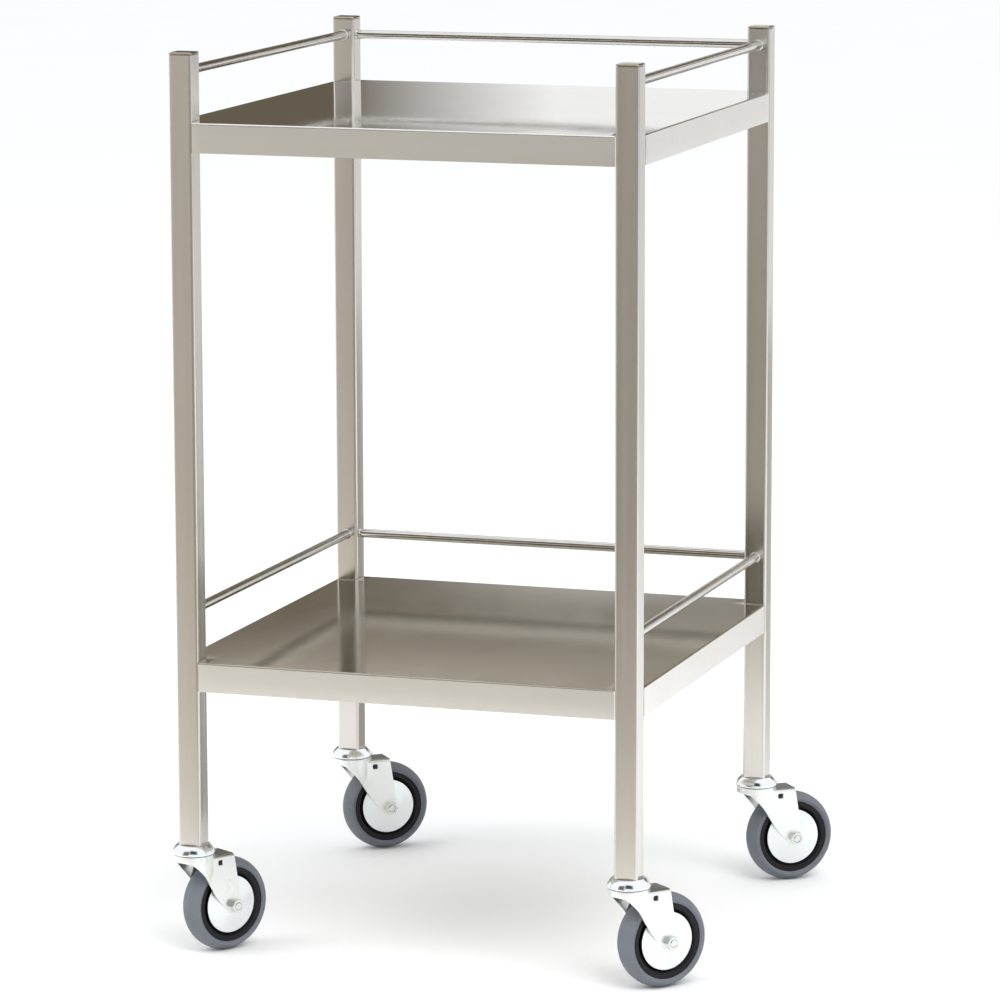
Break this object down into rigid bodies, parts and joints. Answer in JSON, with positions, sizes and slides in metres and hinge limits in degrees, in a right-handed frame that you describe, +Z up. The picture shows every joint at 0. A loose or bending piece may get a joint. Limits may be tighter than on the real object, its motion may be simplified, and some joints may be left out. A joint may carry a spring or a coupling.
{
  "type": "instrument cart",
  "caption": "Open-front cart with square posts, folded steel shelves, round guard rails and swivel castors with rubber tyres.",
  "frame": {"origin": "on the floor, under the middle of the whole cart as it stands with its castors turned", "axes": "+X to the right along the open front, +Y to the back, +Z up"},
  "size_m": [0.576, 0.5758, 0.9545],
  "materials": {
    "post_steel": "stainless tube with a fine grain along its length, warm grey",
    "cap_steel": "bright pressed stainless cap",
    "shelf_steel": "bright annealed stainless sheet, close to a mirror on the upper shelf and satin on the lower",
    "rail_steel": "polished stainless bar",
    "race_chrome": "bright zinc-plated pressing",
    "zinc_steel": "pale zinc-plated pressed steel, satin",
    "guard_zinc": "pale zinc-plated sheet, smooth",
    "bolt_zinc": "zinc-plated fastener",
    "ball_steel": "hardened bearing steel",
    "core_plastic": "black moulded plastic",
    "grey_rubber": "grey non-marking rubber",
    "expander_plastic": "black moulded plastic"
  },
  "bodies": {
    "frame": {"front_left_post": "post_steel", "front_left_post_cap": "cap_steel", "front_left_stem_expander": "expander_plastic", "front_left_king_pin": "zinc_steel", "front_left_upper_race": "race_chrome", "front_right_post": "post_steel", "front_right_post_cap": "cap_steel", "front_right_stem_expander": "expander_plastic", "front_right_king_pin": "zinc_steel", "front_right_upper_race": "race_chrome", "back_left_post": "post_steel", "back_left_post_cap": "cap_steel", "back_left_stem_expander": "expander_plastic", "back_left_king_pin": "zinc_steel", "back_left_upper_race": "race_chrome", "back_right_post": "post_steel", "back_right_post_cap": "cap_steel", "back_right_stem_expander": "expander_plastic", "back_right_king_pin": "zinc_steel", "back_right_upper_race": "race_chrome", "lower_shelf": "shelf_steel", "lower_left_rail": "rail_steel", "lower_right_rail": "rail_steel", "lower_back_rail": "rail_steel", "upper_shelf": "shelf_steel", "upper_left_rail": "rail_steel", "upper_right_rail": "rail_steel", "upper_back_rail": "rail_steel"},
    "front_left_castor": {"front_left_fork": "zinc_steel", "front_left_swivel_balls": "ball_steel", "front_left_thread_guards": "guard_zinc", "front_left_wheel_bush": "ball_steel", "front_left_axle_bolt": "bolt_zinc", "front_left_axle_nut": "bolt_zinc"},
    "front_left_wheel": {"front_left_wheel_core": "core_plastic", "front_left_tyre": "grey_rubber"},
    "front_right_castor": {"front_right_fork": "zinc_steel", "front_right_swivel_balls": "ball_steel", "front_right_thread_guards": "guard_zinc", "front_right_wheel_bush": "ball_steel", "front_right_axle_bolt": "bolt_zinc", "front_right_axle_nut": "bolt_zinc"},
    "front_right_wheel": {"front_right_wheel_core": "core_plastic", "front_right_tyre": "grey_rubber"},
    "back_left_castor": {"back_left_fork": "zinc_steel", "back_left_swivel_balls": "ball_steel", "back_left_thread_guards": "guard_zinc", "back_left_wheel_bush": "ball_steel", "back_left_axle_bolt": "bolt_zinc", "back_left_axle_nut": "bolt_zinc"},
    "back_left_wheel": {"back_left_wheel_core": "core_plastic", "back_left_tyre": "grey_rubber"},
    "back_right_castor": {"back_right_fork": "zinc_steel", "back_right_swivel_balls": "ball_steel", "back_right_thread_guards": "guard_zinc", "back_right_wheel_bush": "ball_steel", "back_right_axle_bolt": "bolt_zinc", "back_right_axle_nut": "bolt_zinc"},
    "back_right_wheel": {"back_right_wheel_core": "core_plastic", "back_right_tyre": "grey_rubber"}
  },
  "joints": [
    {"name": "front_left_swivel", "type": "hinge", "parent": "frame", "child": "front_left_castor", "pos_m": [-0.26521, -0.26513, 0.1122], "axis": [0, 0, 1], "continuous": true},
    {"name": "front_left_wheel_spin", "type": "hinge", "parent": "front_left_castor", "child": "front_left_wheel", "pos_m": [-0.24428, -0.23151, 0.05], "axis": [-0.849, 0.5284, 0], "continuous": true},
    {"name": "front_right_swivel", "type": "hinge", "parent": "frame", "child": "front_right_castor", "pos_m": [0.21379, -0.26513, 0.1122], "axis": [0, 0, 1], "continuous": true},
    {"name": "front_right_wheel_spin", "type": "hinge", "parent": "front_right_castor", "child": "front_right_wheel", "pos_m": [0.23961, -0.23511, 0.05], "axis": [-0.7581, 0.6521, 0], "continuous": true},
    {"name": "back_left_swivel", "type": "hinge", "parent": "frame", "child": "back_left_castor", "pos_m": [-0.26521, 0.22387, 0.1122], "axis": [0, 0, 1], "continuous": true},
    {"name": "back_left_wheel_spin", "type": "hinge", "parent": "back_left_castor", "child": "back_left_wheel", "pos_m": [-0.23465, 0.24906, 0.05], "axis": [-0.6361, 0.7716, 0], "continuous": true},
    {"name": "back_right_swivel", "type": "hinge", "parent": "frame", "child": "back_right_castor", "pos_m": [0.21379, 0.22387, 0.1122], "axis": [0, 0, 1], "continuous": true},
    {"name": "back_right_wheel_spin", "type": "hinge", "parent": "back_right_castor", "child": "back_right_wheel", "pos_m": [0.24465, 0.24868, 0.05], "axis": [-0.6266, 0.7793, 0], "continuous": true}
  ]
}
